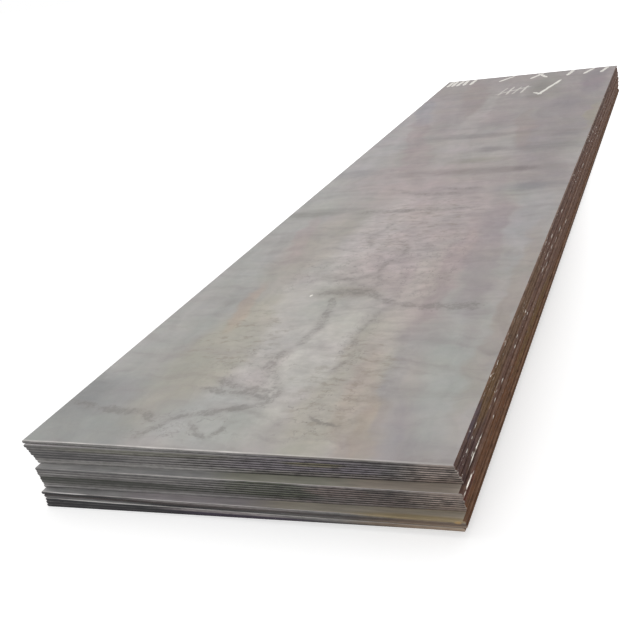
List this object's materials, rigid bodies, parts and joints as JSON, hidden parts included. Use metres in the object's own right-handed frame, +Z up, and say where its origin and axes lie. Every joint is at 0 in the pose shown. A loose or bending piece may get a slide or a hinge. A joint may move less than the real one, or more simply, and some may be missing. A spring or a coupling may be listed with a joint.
{
  "type": "steel plate stack",
  "caption": "Stack of rectangular hot-rolled steel plates lying flat, with sheared ends that step back in lifts and rounded, rusty mill edges. Raw stock for cutting and fabrication.",
  "frame": {"origin": "bottom centre of the stack's bounding box, on the floor that it lies on", "axes": "+X across the plates, +Y along the plates from the front ends to the far ends, +Z up through the stack"},
  "size_m": [1.5254, 6.0642, 0.264],
  "materials": {
    "hot_rolled_steel": "mill scale, satin grey with faint temper tints; dark sheared ends; rusty rolled edges"
  },
  "bodies": {
    "root": {"plate_01": "hot_rolled_steel", "plate_02": "hot_rolled_steel", "plate_03": "hot_rolled_steel", "plate_04": "hot_rolled_steel", "plate_05": "hot_rolled_steel", "plate_06": "hot_rolled_steel", "plate_07": "hot_rolled_steel", "plate_08": "hot_rolled_steel", "plate_09": "hot_rolled_steel", "plate_10": "hot_rolled_steel", "plate_11": "hot_rolled_steel", "plate_12": "hot_rolled_steel", "plate_13": "hot_rolled_steel", "plate_14": "hot_rolled_steel", "plate_15": "hot_rolled_steel", "plate_16": "hot_rolled_steel", "plate_17": "hot_rolled_steel", "plate_18": "hot_rolled_steel", "plate_19": "hot_rolled_steel", "plate_20": "hot_rolled_steel", "plate_21": "hot_rolled_steel"}
  },
  "joints": []
}
